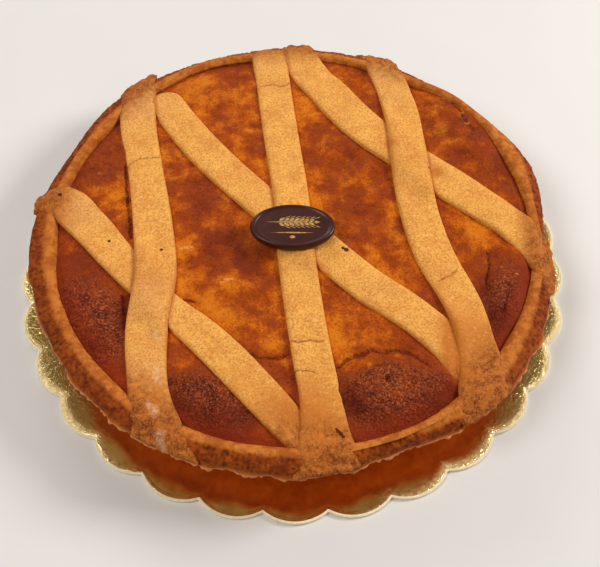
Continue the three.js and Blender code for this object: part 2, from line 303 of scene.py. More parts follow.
# Where the painted highlights and reflections go: the pale edge, the olive sides and the glints.
card_marks = {
    "border": 1 - smooth(card_inside, 0.5, 2.2 + 3.8 * bright_lobe),
    "side": smooth(np.abs(np.cos(card_angle)), 0.58, 0.85) * np.ones_like(card_out),
    "catching": bright_lobe * (1 - smooth(card_inside, 2, 8)),
}
card = make_piece("foil_card", card_loops, foil, card_marks, board, BOARD_ROWS)
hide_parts("cake_card")


# The shell: a shortcrust case that was baked in a flared tin. The wall took the tin's smooth side, the
# rim was trimmed at the tin's edge and tore there, and the lip inside it stayed smooth and paler.

FOOT = 110.0
RIM_OUTER = 127.2
RIM_INNER = 117.1
SHELL_STEPS = 1300
# Where the rim and its lip swell or shrink: the angle, how far out, and how far either way. The third
# list is for the ends of the strips, which were trimmed with the rim.
OUTER_BUMPS = [
    (-40, 2.6, 20), (-3, -3.2, 12), (18, 2.8, 12), (52, -1.8, 10), (97, -2, 4), (110, 0.9, 20),
    (137, 2.4, 13), (160, -1.8, 9), (188, 1.3, 12), (240, 1, 16), (272, 1, 7), (291, -1.9, 9),
]  # fmt: skip
INNER_BUMPS = [(40, 3, 15), (57, -1.5, 6), (115, 2.8, 14), (190, -2.2, 40), (295, 1.8, 16)]
END_BUMPS = [(64, 2.2, 4), (90, 1.6, 3), (98, -1.2, 4), (128, 2.6, 3), (138, 1.4, 4), (174, 0.6, 3)]
# The ragged line of the torn edge: waves round the rim, how high, and where they start.
TEARS = [(23, 0.5, 0.4), (37, 0.45, 1.9), (53, 0.4, 4.1)]
# A spot is a place along the wall's section, counted by its points: the torn edge is near 3, the band goes
# from 4 to 6, and the lip from here to 9. In some places the lip reaches further out over the band.
LIP_FROM = 6.35
WIDE_LIP = [(302, 1.1, 20), (34, 1.9, 14)]
# Crumbs and hatches are laid out on a plain drum: its radius, and its height for each spot.
DRUM = 127
DRUM_HEIGHT = 1.6
HATCHES = 330
# No part of the shell goes lower than this, just above the card.
SHELL_LOW = 2.03


def outer_radius(angle):
    return RIM_OUTER + bumps_at(OUTER_BUMPS, angle)


def inner_radius(angle):
    return RIM_INNER + bumps_at(INNER_BUMPS, angle)


def curve_through(points, at, spots):
    """A smooth curve through points that stand at these places along it, read off at the spots."""
    slopes = np.gradient(points, at, axis=0)
    i = np.clip(np.searchsorted(at, spots, side="right") - 1, 0, len(at) - 2)
    gap = at[i + 1] - at[i]
    shape = (-1, *[1] * (points.ndim - 1))
    t = ((spots - at[i]) / gap).reshape(shape)
    gap = gap.reshape(shape)
    start = (2 * t**3 - 3 * t**2 + 1) * points[i] + (t**3 - 2 * t**2 + t) * gap * slopes[i]
    return start + (3 * t**2 - 2 * t**3) * points[i + 1] + (t**3 - t**2) * gap * slopes[i + 1]


shell_angle = np.linspace(0, 2 * math.pi, SHELL_STEPS, endpoint=False)
outer = outer_radius(shell_angle)
inner = inner_radius(shell_angle)
ripple = sum(high * np.sin(waves * shell_angle + start) for waves, high, start in TEARS)
# From the foot up the wall, over the torn edge, the band and the lip, and down inside: each point's
# radius, its height, and the number of rows from it to the next.
shell_section = [
    (FOOT - 2.5, 2.05, 3),
    (FOOT, 4.5, 13),
    (FOOT + 11.5, 24.2, 9),
    (outer - 0.6 + ripple, 25.6 + 0.6 * ripple, 9),
    (outer + 0.4 * ripple, 27.9, 9),
    (outer - 1.2, 31, 9),
    (outer - 4.2, 32.6 + 0.3 * ripple, 8),
    (inner + 3.6, 33.6, 5),
    (inner + 1.2, 33.1, 4),
    (inner - 0.2, 31, 2),
    (inner - 1.2, 28.4, 1),
    (FOOT - 5.5, 7.6, 1),
]
shell_points = np.zeros((len(shell_section), SHELL_STEPS, 2))
for point, (radius, height, _) in zip(shell_points, shell_section):
    point[:, 0] = radius
    point[:, 1] = height
shell_spots = np.concatenate([k + np.arange(rows) / rows for k, (_, _, rows) in enumerate(shell_section)])
profile = curve_through(shell_points, np.arange(float(len(shell_section))), shell_spots)
radius, height = profile[..., 0], profile[..., 1]
shell_loops = np.stack([radius * np.cos(shell_angle), radius * np.sin(shell_angle), height], -1)

# The rim's outer band is pitted, and crumbs and flakes hang at the torn edge.
spot = shell_spots[:, None]
drum_x, drum_y = DRUM * np.cos(shell_angle), DRUM * np.sin(shell_angle)
edge_place = np.stack(np.broadcast_arrays(drum_x, drum_y, spot * DRUM_HEIGHT), -1)
lip_from = LIP_FROM - bumps_at(WIDE_LIP, shell_angle)
on_band = smooth(spot, 3.4, 4.6) * (1 - smooth(spot, lip_from - 0.05, lip_from + 0.7))
on_tear = np.exp(-(((spot - 3.15) / 0.32) ** 2))
hatches = np.sin(HATCHES * shell_angle + 4.0 * grain(edge_place, 5, 10))
streaks = 0.35 * hatches + 0.4 * grain(edge_place, 1.1, 11) + 1.1 * grain(shell_loops, 1.1, 18)
pits = on_band * smooth(streaks, -0.1, 1.1)
flake_place = edge_place * [1, 1, 1.5]
flakes = grain(flake_place, 2.5, 12) + 0.8 * grain(flake_place, 1.1, 13)
crumbs = smooth(grain(flake_place, 1.6, 14), -0.1, 0.6)
push = -0.5 * pits
push += on_band * 0.22 * grain(shell_loops, 3.2, 15)
push += on_tear * (0.6 + 0.45 * flakes + 0.8 * crumbs)
push += 0.28 * grain(shell_loops, 11, 16) * smooth(spot, 1, 2)
push += 0.10 * grain(shell_loops, 2.2, 17) * smooth(spot, 1, 2)
shell_loops = shell_loops + outward(shell_loops) * push[..., None]
shell_loops[..., 2] = np.maximum(shell_loops[..., 2], SHELL_LOW)

crust = Finish("baked_rim", {"Specular IOR Level": 0.12})
fine = crust.noise(0.7, 3)
mottle = crust.noise(3.2, 3)
patch = crust.noise(14, 2)
band = crust.mark("band")
lip = crust.mark("lip")
torn = crust.mark("torn")
pitting = 0.7 * crust.mark("pits") + 1.6 * (crust.noise(1.0, 3) - 0.5) + 0.4 * (mottle - 0.5)
pitted = crust.step(pitting, 0.05, 0.7)
crumbed = crust.step(torn + 0.6 * (fine - 0.5), 0.3, 0.65)
toasted = crust.step(mottle + 0.5 * (patch - 0.5), 0.34, 0.66)
wall_colour = crust.between(toasted, (170, 84, 28), (196, 106, 42))
band_colour = crust.between(toasted, (118, 44, 2), (160, 74, 8))
lip_colour = crust.between(toasted, (170, 88, 26), (204, 122, 48))
crust.lay(
    colour=crust.coat(
        crust.mix(lip, crust.mix(band, wall_colour, band_colour), lip_colour),
        (pitted * band * 0.5, (98, 36, 8)),
        (crumbed * 0.9, (214, 140, 86)),
        (crust.step(fine, 0.5, 0.7) * 0.35, (96, 42, 14)),
    ),
    roughness=0.56 + 0.2 * mottle,
    relief=0.32 * fine + 0.35 * mottle - 0.25 * pitted,
)
shell_marks = {
    "band": on_band,
    "lip": smooth(spot, lip_from, lip_from + 0.75) * (1 - 0.5 * smooth(spot, 8.6, 10.0)),
    "torn": np.exp(-(((spot - 3.3) / 0.3) ** 2)) * (0.75 + 0.25 * crumbs),
    "pits": pits,
}
shell = make_piece("baked_shell", shell_loops, crust, shell_marks)
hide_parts("shell")


# The filling: a sweet ricotta and wheat cream that rose and browned in the oven. It sank again in the
# middle, and where the strips left it free near the rim it stayed puffed up, dark and wrinkled.

# How far it stands up between the strips, over the level that they were laid on.
FILLING_PROUD = 0.8
FILL_STEPS = 660
FILL_RINGS = 134
# The two rows under its top lie inside the shell: how high they are.
FILL_FOOT = 8
FILL_SIDE = 26
# Where it stayed puffed up: x, y, half length, half width, turn and height.
PUFFS = [
    (45, -90, 25, 18, 8, 4.6), (-97, -52, 30, 10, 118, 2.8), (-37, -95, 22, 10, -43, 2.8),
    (100, -38, 27, 10, 72, 3.2), (90, 66, 30, 17, -58, 2.8), (-93, 34, 24, 9, 68, 1.6),
    (-42, 92, 26, 14, 18, 1.8), (26, 103, 16, 7, -50, 1.4),
]  # fmt: skip
# Where the top is browner or paler than the rest: x, y, radius and how much.
# Some of them are painted light and shade: dark patches for shadow beside the strips, and pale ones
# along the strips' edges, painted light that lifts the shadow the strips cast there.
TOASTED_AND_SHADED_PATCHES = [
    (45, -92, 24, 0.95), (-95, -50, 22, 0.85), (-104, -30, 16, 0.6), (-84, -72, 16, 0.8),
    (-40, -96, 18, 0.95), (-20, -104, 14, 0.7), (100, -38, 20, 0.85), (98, -58, 12, 0.7),
    (-45, 20, 13, 0.42), (-24, -22, 14, 0.42), (32, 48, 20, 0.32), (44, 34, 9, 0.35), (30, 27, 6, 0.35),
    (-8, -84, 11, 0.5), (-98, 52, 16, 0.45), (94, 90, 14, 0.35), (112, 34, 16, 0.4), (40, 74, 10, 0.3),
    (-30, 104, 16, 0.3), (50, 2, 14, 0.22), (-38, 62, 12, 0.2), (35, 14, 9, 0.25), (108, 60, 12, 0.3),
    (62, -42, 12, 0.25), (-95, 26, 10, 0.2), (-34, -10, 7, 0.55), (-41, -18, 6, 0.5), (-50, -2, 7, 0.35),
    (-46, 8, 8, 0.3), (-22, -26, 6, 0.5), (-41, 74, 6, 0.4), (-44, 104, 6, 0.35), (-23, 48, 6, 0.35),
    (26, 10, 6, 0.4), (35, -10, 4, 0.3), (47, -23, 5, 0.3), (75, 11, 5, 0.45), (94, -19, 4, 0.4),
    (-80, 4, 5, 0.4), (-78, 28, 5, 0.4), (-104, -8, 8, 0.3), (-110, 29, 10, 0.6), (113, 8, 8, 0.5),
    (85, 60, 14, 0.25), (98, 40, 14, 0.3), (-48, -24, 6, 0.5), (-24, -42, 9, 0.2), (-28, -48, 6, 0.2),
]  # fmt: skip
BRIGHT_AND_LIT_PATCHES = [
    (-55, 98, 14, 0.5), (-38, 78, 8, 0.3), (6, 76, 9, 0.45), (30, 17, 8, 0.4), (-20, -44, 11, 0.1),
    (-42, -44, 9, 0.4), (-12, -62, 9, 0.35), (24, -62, 12, 0.6), (-50, -16, 4, 0.6), (-30, -34, 6, 0.5),
    (-22, -36, 5, 0.4), (-52, -41, 6, 0.5), (-32, -55, 6, 0.6), (-53, 98, 6, 0.4), (-51, 74, 5, 0.45),
    (-28, 71, 5, 0.45), (50, 4, 5, 0.35), (11, 14, 6, 0.6), (11, 26, 6, 0.5), (12, 2, 5, 0.4),
    (14, -30, 6, 0.4), (37, -50, 5, 0.3), (87, -3, 5, 0.45), (97, -5, 5, 0.35), (-109, -19, 4, 0.8),
    (-107, -27, 4, 0.7), (45, -92, 10, 0.5), (90, -8, 6, 0.3), (96, -12, 6, 0.3), (52, 36, 6, 0.6),
    (55, 22, 6, 0.5), (46, 56, 6, 0.5), (-113, -11, 4, 0.5), (75, 71, 4, 0.35), (79, 63, 4, 0.35),
    (18, -70, 8, 0.4), (-86, 14, 9, 0.45), (84, 72, 12, 0.25), (98, 0, 10, 0.35), (98, -27, 6, 0.6),
    (-89, 19, 4, 0.7), (-84, 9, 4, 0.6), (49, -2, 5, 0.5), (51, 10, 5, 0.5), (20, 77, 10, 0.3),
    (33, -62, 6, 0.3), (-48, -78, 8, 0.4), (2, 92, 7, 0.3), (-52, -20, 9, 0.3), (-60, 40, 9, 0.2),
    (25, -80, 8, 0.5), (42, -83, 9, 0.4), (42, -90, 9, 1.1), (68, -76, 6, 0.9), (-88, -44, 8, 0.5),
    (-28, -92, 6, 0.5), (-55, -8, 6, 0.4), (-56, 10, 6, 0.4), (-40, 88, 9, 0.35), (50, -20, 5, 0.3),
    (53, -8, 5, 0.3), (48, 50, 5, 0.4), (-9, -28, 4, 0.5), (-8, -40, 4, 0.5), (-6, -54, 4, 0.5),
    (-5, -67, 4, 0.5), (-3, -79, 4, 0.5), (-2, -90, 4, 0.5), (40, -23, 5, 0.5), (48, -33, 5, 0.5),
    (56, -43, 4, 0.5), (29, 27, 5, 0.5), (41, 37, 5, 0.4), (47, 24, 4, 0.5),
]  # fmt: skip
# Where the puffed skin shrank into wrinkles as it cooled, and where it is darkest.
WRINKLED_PATCHES = [
    (30, -97, 13, 1.0), (52, -95, 13, 1.0), (42, -86, 7, 0.6), (66, -90, 7, 0.6), (-38, -96, 12, 1.1),
    (-24, -102, 9, 1.0), (-50, -92, 6, 0.8), (-95, -58, 14, 1.0), (-84, -70, 12, 1.1),
    (-100, -40, 12, 0.5), (-84, -50, 8, 0.6), (96, -48, 10, 0.9), (98, -34, 9, 0.6), (90, -60, 6, 0.6),
    (98, 57, 5, 0.4), (105, 41, 5, 0.4), (111, 24, 5, 0.4), (115, 5, 4, 0.3), (86, 80, 5, 0.4),
    (92, 68, 5, 0.5),
]  # fmt: skip
SCORCHED_PATCHES = [
    (-74, -50, 4, 0.7), (-74, -58, 4, 0.8), (-73, -66, 4, 0.7), (-72, -43, 3, 0.6), (-86, -72, 6, 0.5),
    (91, -31, 3, 0.5), (90, -40, 4, 0.6), (94, -56, 5, 0.6), (92, -63, 5, 0.5), (81, 59, 4, 0.5),
    (24, -101, 8, 0.9), (34, -103, 6, 0.5), (64, -98, 8, 0.8), (74, -92, 6, 0.8), (19, -90, 6, 0.6),
    (-75, -46, 4, 0.8), (-75, -54, 4, 0.9), (92, -52, 8, 0.5), (88, -45, 5, 0.5), (-52, -90, 5, 0.8),
    (-92, 48, 3, 0.7), (-83, 13, 3, 0.8), (-80, -3, 3, 0.8), (27, 47, 4, 0.5), (-48, -101, 7, 0.8),
    (-30, -106, 8, 0.7), (-20, -104, 6, 0.8), (-30, -84, 4, 0.6),
]  # fmt: skip
# Lines along which the skin split open, in plan.
FILLING_SPLITS = [
    [(20, -80), (28, -75), (36, -72), (46, -72), (55, -76), (61, -81)],
    [(28, -75.7), (36, -72.8), (46, -72.8), (55, -76.7)],
    [(-19, -73), (-12, -76), (-6, -76), (-1, -73)],
    [(85.3, 85.3), (88.5, 79), (91.5, 71.5), (93, 66), (96, 60)],
    [(-87.5, 35.5), (-84, 19), (-81, 2), (-78, -11)],
    [(-78, -44.5), (-76.5, -53), (-75, -61.5)],
    [(94, -19), (92.5, -27), (92, -31), (91, -38)],
    [(100, -44), (97, -49), (95, -53)],
    [(41, -87), (41.6, -88.4)],
    [(-50, -46), (-44, -48)],
    [(-38, -88), (-33, -92), (-31, -97)],
]
# Small painted glints of light on the top, as pale spots: x, y and radius.
GLINT_SPOTS = [
    (-53.5, -16.8, 0.9), (-51, -16.2, 1.1), (-48.8, -15.6, 0.9), (-32.6, -36.2, 0.8), (-30.4, -34.5, 1.1),
    (-28.5, -34, 0.8), (-58.4, -44.7, 0.9), (83, 85.3, 0.8), (91, 73, 1.0), (93, 64.7, 1.1), (76, 63.8, 0.7),
    (98.4, -28.5, 0.6), (104.8, -33, 0.7),
]  # fmt: skip


def filling_level(x, y):
    """The level that the strips were laid on, which sinks towards the middle."""
    return 30.4 - 1.3 * np.exp(-((np.hypot(x, y) / 70) ** 2))


def patches_at(patches, x, y):
    """The sum of soft round patches."""
    total = 0
    for at_x, at_y, wide, much in patches:
        total = total + much * np.exp(-(((x - at_x) ** 2 + (y - at_y) ** 2) / wide**2))
    return total


def spots_away(spots, x, y, squeeze=1.0):
    """The distance in plan from the nearest of some small spots, by its radius, up to five."""
    nearest = np.full(x.shape, 5.0)
    for at_x, at_y, wide in spots:
        nearest = np.minimum(nearest, np.hypot((x - at_x) * squeeze, y - at_y) / wide)
    return nearest


def away_from(lines, points):
    """The distance of points from the nearest of some lines, in plan, up to five millimetres."""
    nearest = np.full(points.shape[:-1], 5.0)
    for line in lines:
        for start, end in zip(line, line[1:]):
            start, run = np.array(start, float), np.subtract(end, start)
            share = np.clip(((points[..., :2] - start) @ run) / (run @ run), 0, 1)
            foot_of = start + share[..., None] * run
            nearest = np.minimum(nearest, np.linalg.norm(points[..., :2] - foot_of, axis=-1))
    return nearest


fill_angle = np.linspace(0, 2 * math.pi, FILL_STEPS, endpoint=False)
fill_edge = inner_radius(fill_angle) + 0.3
rings = np.linspace(1, 0.004, FILL_RINGS)[:, None]
fill_radius = np.concatenate([[np.full(FILL_STEPS, FOOT - 6.8), fill_edge - 0.5], rings * fill_edge])
fill_x = fill_radius * np.cos(fill_angle)
fill_y = fill_radius * np.sin(fill_angle)
puffed = 0
for at_x, at_y, long, wide, turn, high in PUFFS:
    cosine, sine = math.cos(math.radians(turn)), math.sin(math.radians(turn))
    along = (fill_x - at_x) * cosine + (fill_y - at_y) * sine
    across = (fill_y - at_y) * cosine - (fill_x - at_x) * sine
    share = 1 - smooth(np.hypot(along / long, across / wide), 0.35, 1.25)
    puffed = puffed + high * share
wrinkled_at = np.clip(patches_at(WRINKLED_PATCHES, fill_x, fill_y), 0, 1)
fill_z = filling_level(fill_x, fill_y) + FILLING_PROUD + puffed
fill_plan = np.stack([fill_x, fill_y, 0 * fill_x], -1)
wrinkles = 1 - np.abs(grain(fill_plan, 2.6, 21)) * 1.6
fill_wander = np.stack([grain(fill_plan, 4, 22), grain(fill_plan, 4, 23)], -1)
fill_split = away_from(FILLING_SPLITS, fill_plan[..., :2] + 1.1 * fill_wander)
fill_z = fill_z + 0.45 * grain(fill_plan, 13, 24) + 0.18 * grain(fill_plan, 4, 25)
fill_z = fill_z + wrinkled_at * (0.42 * wrinkles + 0.3 * grain(fill_plan, 1.7, 26))
fill_z = fill_z - 1.1 * np.exp(-((fill_split / 0.7) ** 2))
fill_z = fill_z - 0.9 * smooth(fill_radius, fill_edge - 3.5, fill_edge)
fill_z[0] = FILL_FOOT
fill_z[1] = FILL_SIDE
fill_loops = np.stack([fill_x, fill_y, fill_z], -1)
toasted_and_shaded_at = patches_at(TOASTED_AND_SHADED_PATCHES, fill_x, fill_y)
bright_and_lit_at = patches_at(BRIGHT_AND_LIT_PATCHES, fill_x, fill_y)
# The browning, with the painted shade and light of the patches in it.
toast_and_shade = 0.46 + 0.8 * toasted_and_shaded_at - 0.6 * bright_and_lit_at
toast_and_shade = toast_and_shade + 0.25 * smooth(fill_radius, fill_edge - 9, fill_edge) + 0.14 * grain(fill_plan, 9, 27)
scorched = patches_at(SCORCHED_PATCHES, fill_x, fill_y) * (1 + 0.4 * grain(fill_plan, 5, 28))

cream = Finish("browned_filling", {"Specular IOR Level": 0.08})
fill_fine = cream.noise(1.0, 4)
fill_mottle = cream.noise(3.2, 5)
fill_patch = cream.noise(9, 2.5)
browned = cream.mark("toast_and_shade") + 1.7 * (fill_patch - 0.5) + 0.5 * (fill_mottle - 0.5) + 0.6 * (fill_fine - 0.5)
blushed = cream.step(cream.noise(8, 2.5) + 0.3 * (browned - 0.5), 0.42, 0.74)
glazed = cream.step(cream.noise(6, 3) - 0.3 * (browned - 0.4), 0.46, 0.84)
speckled = cream.step(cream.noise(1.4, 3), 0.5, 0.66) * cream.step(browned, 0.55, 0.95)
shrunk = cream.mark("wrinkled") + 0.5 * (fill_mottle - 0.5) + 0.8 * (fill_patch - 0.5)
wrinkled = cream.step(shrunk, 0.1, 0.8)
skin_folds = (cream.folds(3.2) + cream.folds(1.8) * 0.6) * cream.step(fill_patch, 0.3, 0.6)
burnt = wrinkled * cream.step(cream.noise(6, 5), 0.45, 0.66)
grained = cream.noise(0.9, 3)
creases = wrinkled * cream.step(cream.folds(2.4) + 1.2 * fill_mottle, 0.6, 1.6)
painted_glints = 1 - cream.step(cream.mark("glint_spot") + 0.8 * (fill_fine - 0.5), 0.3, 1.2)
opened = 1 - cream.step(cream.mark("split") + 3.2 * (cream.noise(1.5, 3) - 0.5), 0.1, 0.8)
cream.lay(
    colour=cream.coat(
        cream.between(cream.step(browned, 0.0, 0.4), (208, 108, 10), (182, 82, 4)),
        (cream.step(browned, 0.28, 0.7), (150, 60, 2)),
        (cream.step(browned, 0.7, 1.15), (118, 38, 0)),
        (blushed * 0.35, (146, 62, 34)),
        (glazed * 0.5, (222, 134, 30)),
        (cream.step(fill_fine, 0.46, 0.7) * 0.42, (104, 36, 4)),
        (speckled * 0.45, (86, 26, 4)),
        (wrinkled * 0.7, (142, 56, 18)),
        (burnt * 0.8, (72, 18, 8)),
        # Painted sheen: pale pink on the ridges of the skin's folds.
        (wrinkled * skin_folds * 0.18, (196, 110, 74)),
        (wrinkled * cream.step(grained, 0.5, 0.66) * 0.46, (212, 120, 76)),
        (wrinkled * (1 - cream.step(grained, 0.34, 0.48)) * 0.7, (54, 12, 4)),
        # Painted shade in the creases of the skin.
        (creases * 0.4, (74, 18, 4)),
        (cream.mark("rim_side") * 0.6, (136, 38, 0)),
        (cream.mark("scorched") * 0.75, (92, 22, 4)),
        # Painted glints.
        (painted_glints * 0.5, (240, 170, 100)),
        # Painted shade in the splits.
        (opened * 0.6, (76, 18, 4)),
    ),
    roughness=0.4 + 0.3 * fill_mottle,
    relief=0.5 * fill_fine + 0.8 * fill_mottle + wrinkled * (0.3 * skin_folds - 0.3 * creases) - 0.4 * opened,
)
fill_marks = {
    "toast_and_shade": toast_and_shade,
    "wrinkled": wrinkled_at,
    "scorched": np.clip(scorched, 0, 1),
    "rim_side": smooth(fill_radius, fill_edge - 13, fill_edge - 2) * smooth(-np.sin(fill_angle), -0.1, 0.5),
    "split": fill_split,
    "glint_spot": spots_away(GLINT_SPOTS, fill_x, fill_y, squeeze=0.6),
}
filling = make_piece("browned_filling", fill_loops, cream, fill_marks)
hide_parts("filling")


# The dough strips: six ribbons of rolled shortcrust. Three diagonal ones lie on the filling, three long
# ones cross over them, and their ends are pressed onto the rim and trimmed with it.

# Each strip's middle line and width: x, y and width from its far end to its near end.
DIAGONALS = {
    "diagonal_middle": [
        (-73.5, 88, 17), (-66, 74, 18.6), (-52.4, 54, 19.6), (-21.5, 18.6, 19), (10.8, -12.2, 18.8),
        (36.6, -38.2, 19.2), (56.8, -54.5, 18.2), (70.2, -69.4, 17.6), (78, -90, 14),
    ],
    "diagonal_left": [
        (-137, 11, 8), (-127, 10.6, 11), (-115.7, 9.9, 19.7), (-101, -2.6, 19.3), (-82, -23.9, 17.2),
        (-70, -35.7, 17), (-59, -47.6, 14), (-51.5, -54.6, 14.8), (-43, -61.8, 16.4), (-15, -90.5, 17.4),
        (0, -107.5, 15.5), (8, -117, 13),
    ],
    "diagonal_right": [
        (-1, 134, 22), (5, 112, 21), (18.6, 91.5, 22), (37.6, 64.5, 22), (60, 42.5, 20),
        (85.5, 19.1, 21), (108.6, -2.8, 18.2), (122, -24, 20), (128, -38, 22),
    ],
}  # fmt: skip
LONG_STRIPS = {
    "strip_left": [
        (-90, 106, 22), (-87, 90, 20), (-83.4, 62, 19.2), (-76, 31.5, 18), (-69, -1, 19.2),
        (-64, -32, 19.5), (-64.8, -62, 19.2), (-59.4, -97, 18), (-53.5, -116, 24), (-49, -130, 28),
    ],
    "strip_middle": [
        (-16.5, 134, 22), (-13.8, 112, 19.8), (-6.8, 58, 18.8), (-0.5, 12, 18.2), (2.1, -22, 18),
        (4.9, -44, 18), (9.8, -77, 17.8), (12.9, -95, 18.2), (14, -106, 20), (16.5, -136, 32),
    ],
    "strip_right": [
        (44, 134, 24), (50.8, 109, 18.5), (58, 78, 19.2), (60.3, 41, 19.6), (62.3, 11, 19.2),
        (68.1, -20, 19.4), (78.9, -49.3, 17.7), (83, -80, 20), (85, -98, 28), (92, -116, 36),
    ],
}  # fmt: skip
# Where the dough split as it baked, and small dark specks: x, y and radius.
DOUGH_SPLITS = {
    "strip_left": [[(-85, 33), (-83, 36), (-80, 38), (-75, 39.5), (-70, 40)]],
    "strip_middle": [
        [(-19, 93), (-12, 94.5), (-7, 93.5), (-3, 95)],
        [(0, -68.5), (7, -68), (15, -68.5)],
        [(2, -83.5), (7, -82.5), (12, -84)],
    ],
    "strip_right": [[(68.5, -36.5), (74, -33), (77.8, -30.2)]],
}
DOUGH_SPECKS = {
    "strip_left": [(-62.5, -19, 0.8)],
    "strip_middle": [(19.2, -109.8, 0.6), (20.0, -110.8, 0.9), (20.9, -112.0, 1.0), (21.9, -113.3, 0.8)],
    "diagonal_middle": [(26, -18, 1.25), (24.4, -17, 0.9)],
    "diagonal_left": [(-88, -14.5, 0.8), (-116, 12.7, 1.1)],
    "strip_right": [(70, 33, 0.6)],
}
# Where the dough is browner or paler: x, y, radius and how much.
# Some are painted light and shade: dark patches on the shaded side of strip_right where it is lifted,
# the shadow by the strips' near ends and in a gap beside a crossing, and a pale highlight on an edge.
BROWNER_AND_SHADED_PATCHES = [
    (83, -90, 20, 0.85), (80, -62, 14, 0.6), (70, -34, 12, 0.25), (58, 38, 16, 0.28), (60, 18, 10, 0.2),
    (-118, 8, 13, 0.35), (-54, -112, 16, 0.35), (14, -104, 15, 0.6), (10, -88, 9, 0.25),
    (122, -28, 14, 0.45), (-8, -100, 14, 0.55), (-26, -86, 10, 0.3), (-66, -34, 16, 0.35),
    (3, -104, 7, 0.7), (18, -116, 10, 0.7), (92, -106, 12, 0.7), (-61, -92, 15, 0.35),
    (-60, -104, 9, 0.4), (71, -52, 4, 0.3), (70.5, -60, 4, 0.5), (71, -68, 4, 1.0), (71, -76, 4, 1.5),
    (71, -84, 4, 1.2), (72, -92, 4.5, 0.9), (6, 124, 10, 0.35), (74, 31, 4, 0.9), (51, 50, 4, 0.6),
]  # fmt: skip
PALER_AND_LIT_PATCHES = [
    (-88, 96, 16, 1.0), (-85, 74, 12, 0.7), (-106, 4, 14, 0.7), (-65, -46, 12, 0.6), (-60, -84, 12, 0.6),
    (117, -33, 6, 0.9), (48, 104, 10, 0.8), (57, 84, 8, 0.4), (-16, 110, 8, 0.5), (40, -42, 8, 0.3),
    (70.5, 37, 2.5, 1.2),
]  # fmt: skip
# Streaks of flour, as lines in plan.
FLOUR = {
    "strip_left": [
        [(-58, -83), (-57, -88)],
        [(-59, -100), (-55, -104)],
        [(-54, -112), (-51, -120)],
        [(-60, -66), (-58, -68)],
    ],
}
# The dough's thickness on the filling and where it is pressed onto the rim, how deep the strips lie in
# the filling, and how far the long ones rise over the others.
DOUGH_THICK = 4.2
DOUGH_PRESSED = 3.0
DOUGH_SUNK = 1.2
DOUGH_RISE = 2.6
# The rows along a strip are this far apart.
STRIP_STEP = 0.5
# A strip whose end goes further out than this reaches the rim and folds over it.
RIM_REACHED = 125
# The rows of a fold, as shares of its way down, and how low it ends.
FOLD_STEPS = np.array([0.12, 0.25, 0.4, 0.55, 0.7, 0.85, 1.0])[:, None]
FOLD_LOW = 26.2
# Shares of the half width, from edge to edge over the rounded top and back along the underside, which
# stops this far inside the trimmed ends.
TOP_ROUND = np.cos(np.linspace(0, math.pi, 56))
ACROSS = -np.sign(TOP_ROUND) * np.abs(TOP_ROUND) ** 0.8
ACROSS_UNDER = np.linspace(0.96, -0.96, 9)
UNDER_INSET = 3.6


def trim_radius(angle):
    """Where the ends of the strips were trimmed, a little outside the rim."""
    return outer_radius(angle) + 1.0 + bumps_at(END_BUMPS, angle)


def bed_level(x, y):
    """What the strips were laid on: the filling, then the lip, then the falling shoulder of the rim."""
    angle, out = np.arctan2(y, x), np.hypot(x, y)
    on_lip = smooth(out, inner_radius(angle) - 7, inner_radius(angle) + 2)
    past_edge = smooth(out, outer_radius(angle) - 7, outer_radius(angle) + 3)
    return filling_level(x, y) * (1 - on_lip) + 33.2 * on_lip - 3.4 * past_edge


def strip_line(stations, step):
    """A strip's middle line and width, read off at even steps: its places, its points and widths."""
    points = np.array(stations, float)
    at = np.concatenate([[0], np.cumsum(np.linalg.norm(np.diff(points[:, :2], axis=0), axis=1))])
    spots = np.arange(0, at[-1], step)
    return spots, curve_through(points, at, spots)


under_lines = np.concatenate([strip_line(stations, 2.5)[1] for stations in DIAGONALS.values()])
over_lines = np.concatenate([strip_line(stations, 1.5)[1] for stations in LONG_STRIPS.values()])


def gap_to(lines, x, y):
    """The distance in plan from the nearest edge of some strips, below zero on them."""
    beside = np.full(x.shape, 99.0)
    for at_x, at_y, wide in lines:
        beside = np.minimum(beside, np.hypot(x - at_x, y - at_y) - wide / 2)
    return beside


def rise_at(x, y):
    """How far a long strip is lifted by the diagonal ones under it."""
    on_top = 1 - smooth(gap_to(under_lines, x, y) + 2, 0, 12)
    return DOUGH_RISE * on_top * (1 - smooth(np.hypot(x, y), 91, 117))


def lanes_of(stations, across, inset):
    """Points in plan along a strip, one lane for each share across it, from trimmed end to trimmed end."""
    spots, line = strip_line(stations, STRIP_STEP)
    run = np.gradient(line[:, :2], axis=0)
    run = run / np.linalg.norm(run, axis=1, keepdims=True)
    lanes = []
    for share in across:
        half = line[:, 2:] / 2 * share
        lane = line[:, :2] + np.stack([run[:, 1], -run[:, 0]], -1) * half
        trimmed = trim_radius(np.arctan2(lane[:, 1], lane[:, 0]))
        over = np.hypot(lane[:, 0], lane[:, 1]) - trimmed + inset
        inside = np.flatnonzero(over < 0)
        first, last = float(inside[0]), float(inside[-1])
        if inside[0] > 0:
            first -= over[inside[0]] / (over[inside[0]] - over[inside[0] - 1])
        if inside[-1] < len(over) - 1:
            last += over[inside[-1]] / (over[inside[-1]] - over[inside[-1] + 1])
        rows = np.linspace(first, last, len(spots))
        lanes.append(np.stack([np.interp(rows, np.arange(len(lane)), lane[:, k]) for k in range(2)], -1))
    return np.stack(lanes, 1)


